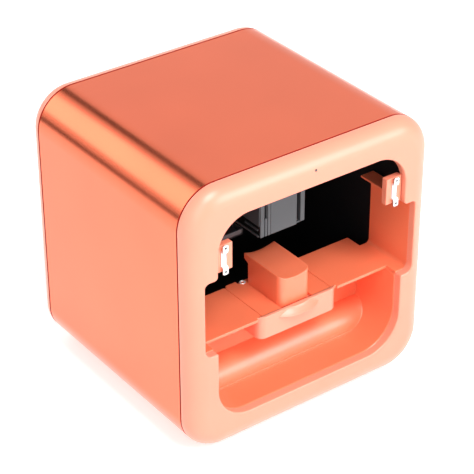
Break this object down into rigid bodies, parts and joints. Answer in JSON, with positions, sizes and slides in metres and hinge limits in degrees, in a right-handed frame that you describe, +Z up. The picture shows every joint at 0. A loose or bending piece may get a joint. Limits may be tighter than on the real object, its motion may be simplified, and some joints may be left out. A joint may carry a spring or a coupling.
{
  "type": "digital nail art printer",
  "caption": "Cube-shaped desktop nail printer with an open front bay, a sprung finger rest, a palm rest and an inkjet carriage on a belt and lead screw gantry.",
  "frame": {"origin": "on the table, under the middle of the housing; the rubber feet stand at z = 0", "axes": "+Z up, +X to the right seen from the front, the front opening faces -Y"},
  "size_m": [0.2, 0.189, 0.202],
  "materials": {
    "coral_satin": "satin metallic paint on the sleeve",
    "peach_moulding": "soft satin moulded plastic",
    "salmon_moulding": "matt moulded plastic",
    "black_steel": "black powder coat",
    "grey_moulding": "fine matt moulded plastic",
    "dark_moulding": "matt moulded plastic",
    "bright_steel": "ground and polished",
    "brass": "turned",
    "black_rubber": "matt",
    "board": "solder mask",
    "felt": "absorbent felt",
    "lens": "clear"
  },
  "bodies": {
    "housing": {"outer_sleeve": "coral_satin", "front_bezel": "peach_moulding", "rear_cover": "peach_moulding", "rubber_feet": "black_rubber", "foot_screws": "bright_steel", "base_plate": "black_steel", "side_plate_left": "black_steel", "side_plate_right": "black_steel", "back_plate": "black_steel", "top_bridge": "black_steel", "bay_liner": "salmon_moulding", "centre_plate": "salmon_moulding", "palm_rest": "peach_moulding", "lift_housing": "peach_moulding", "lift_springs": "bright_steel", "lift_pins": "bright_steel", "finger_switch": "black_steel", "catch_block_left": "salmon_moulding", "catch_block_right": "salmon_moulding", "catch_plate_left": "bright_steel", "catch_plate_right": "bright_steel", "catch_magnets": "dark_moulding", "catch_screws": "bright_steel", "status_lens": "lens", "long_rods": "bright_steel", "rod_brackets": "black_steel", "camera_board": "board", "camera_lens": "black_steel", "long_motor": "black_steel", "station_tray": "grey_moulding", "nozzle_cap": "black_rubber", "wiper_blade": "black_rubber", "ink_pad": "felt", "main_board": "board", "heat_sink": "bright_steel", "button_spring": "bright_steel", "dc_inlet": "black_steel", "data_port": "bright_steel"},
    "rest": {"finger_rest": "salmon_moulding"},
    "screw": {"lead_screw": "bright_steel"},
    "gantry": {"gantry_block_left": "dark_moulding", "gantry_block_right": "dark_moulding", "long_bushes": "brass", "cross_rods": "bright_steel", "cross_stops": "black_rubber", "gantry_bridge": "dark_moulding", "cross_motor": "black_steel", "cross_belt": "black_rubber", "idler_pin": "bright_steel", "lead_nut": "brass"},
    "drive": {"drive_pulley": "bright_steel"},
    "idler": {"idler_pulley": "bright_steel"},
    "carriage": {"carriage_body": "grey_moulding", "cross_bushes": "brass", "belt_clamp": "grey_moulding", "latch_pin": "bright_steel"},
    "cartridge": {"ink_cartridge": "grey_moulding", "nozzle_plate": "brass"},
    "latch": {"cartridge_latch": "dark_moulding"},
    "button": {"power_button": "grey_moulding"}
  },
  "joints": [
    {"name": "gantry_slide", "type": "slide", "parent": "housing", "child": "gantry", "axis": [0, 1, 0], "range_m": [-0.014, 0.034]},
    {"name": "screw_spin", "type": "hinge", "parent": "housing", "child": "screw", "pos_m": [0.084, 0.0055, 0.148], "axis": [0, 1, 0], "range_deg": [-640, 1540]},
    {"name": "carriage_slide", "type": "slide", "parent": "gantry", "child": "carriage", "axis": [1, 0, 0], "range_m": [-0.05, 0.05]},
    {"name": "drive_spin", "type": "hinge", "parent": "gantry", "child": "drive", "pos_m": [-0.064, 0.0055, 0.159], "axis": [0, 1, 0], "range_deg": [-460, 460]},
    {"name": "idler_spin", "type": "hinge", "parent": "gantry", "child": "idler", "pos_m": [0.064, 0.0055, 0.159], "axis": [0, 1, 0], "range_deg": [-460, 460]},
    {"name": "cartridge_slide", "type": "slide", "parent": "carriage", "child": "cartridge", "axis": [0, -1, 0], "range_m": [0, 0.05]},
    {"name": "latch_swing", "type": "hinge", "parent": "carriage", "child": "latch", "pos_m": [-0.0006, -0.0325, 0.169], "axis": [-1, 0, 0], "range_deg": [0, 25]},
    {"name": "rest_press", "type": "slide", "parent": "housing", "child": "rest", "axis": [0, 0, -1], "range_m": [0, 0.0025], "stiffness_N_per_m": 800, "springref_m": -0.002, "deforming": ["lift_springs"]},
    {"name": "button_press", "type": "slide", "parent": "housing", "child": "button", "axis": [0, -1, 0], "range_m": [0, 0.0015], "stiffness_N_per_m": 400, "springref_m": -0.001, "deforming": ["button_spring"]}
  ],
  "couplings": [
    {"joint": "screw_spin", "follows": "gantry_slide", "rad_per_m": 785.4},
    {"joint": "drive_spin", "follows": "carriage_slide", "rad_per_m": -156.99},
    {"joint": "idler_spin", "follows": "carriage_slide", "rad_per_m": -156.99}
  ]
}
